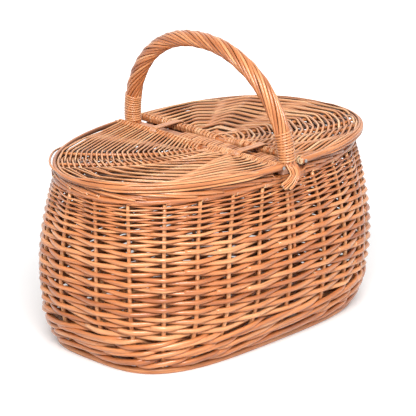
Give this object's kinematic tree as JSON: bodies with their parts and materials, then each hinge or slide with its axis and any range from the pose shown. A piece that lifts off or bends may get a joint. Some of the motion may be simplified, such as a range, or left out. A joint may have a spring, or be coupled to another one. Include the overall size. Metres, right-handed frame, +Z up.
{
  "type": "lidded picnic basket",
  "caption": "Oval willow basket with a woven side, a rolled rim, a fixed roped bow handle across the middle and a flap lid hinged on each side of it.",
  "frame": {"origin": "on the floor, under the middle of the basket", "axes": "+X along the basket's length, +Y along its width towards the back, +Z up"},
  "size_m": [0.4406, 0.2906, 0.361],
  "materials": {
    "willow": "steamed buff willow rods, satin",
    "peeled_rod": "thick buff willow rods, satin",
    "skein": "split willow skein, slightly glossy",
    "lath": "flat sawn lath, matt",
    "steel": "dull nail"
  },
  "bodies": {
    "basket": {"base_weave": "willow", "base_stick_long_1": "peeled_rod", "base_stick_long_2": "peeled_rod", "base_stick_cross_1": "peeled_rod", "base_stick_cross_2": "peeled_rod", "base_stick_cross_3": "peeled_rod", "foot_rod": "willow", "foot_wale": "willow", "side_weave": "willow", "stake_01": "peeled_rod", "stake_02": "peeled_rod", "stake_03": "peeled_rod", "stake_04": "peeled_rod", "stake_05": "peeled_rod", "stake_06": "peeled_rod", "stake_07": "peeled_rod", "stake_08": "peeled_rod", "stake_09": "peeled_rod", "stake_10": "peeled_rod", "stake_11": "peeled_rod", "stake_12": "peeled_rod", "stake_13": "peeled_rod", "stake_14": "peeled_rod", "stake_15": "peeled_rod", "stake_16": "peeled_rod", "stake_17": "peeled_rod", "stake_18": "peeled_rod", "stake_19": "peeled_rod", "stake_20": "peeled_rod", "stake_21": "peeled_rod", "stake_22": "peeled_rod", "stake_23": "peeled_rod", "stake_24": "peeled_rod", "stake_25": "peeled_rod", "stake_26": "peeled_rod", "rim_border": "willow", "centre_lath": "lath", "hinge_loop_front": "skein", "hinge_loop_back": "skein", "handle_bow": "peeled_rod", "handle_roping": "willow", "handle_binding_front": "skein", "handle_binding_back": "skein"},
    "left_lid": {"left_lid_bar": "peeled_rod", "left_lid_hoop": "peeled_rod", "left_lid_weave": "willow", "left_lid_rib_1": "peeled_rod", "left_lid_rib_2": "peeled_rod", "left_lid_rib_3": "peeled_rod", "left_lid_nail_front": "steel", "left_lid_nail_back": "steel"},
    "right_lid": {"right_lid_bar": "peeled_rod", "right_lid_hoop": "peeled_rod", "right_lid_weave": "willow", "right_lid_rib_1": "peeled_rod", "right_lid_rib_2": "peeled_rod", "right_lid_rib_3": "peeled_rod", "right_lid_nail_front": "steel", "right_lid_nail_back": "steel"}
  },
  "joints": [
    {"name": "left_lid_hinge", "type": "hinge", "parent": "basket", "child": "left_lid", "pos_m": [-0.019, 0, 0.22647], "axis": [0, 1, 0], "range_deg": [0, 85]},
    {"name": "right_lid_hinge", "type": "hinge", "parent": "basket", "child": "right_lid", "pos_m": [0.019, 0, 0.22693], "axis": [0, -1, 0], "range_deg": [0, 85]}
  ]
}
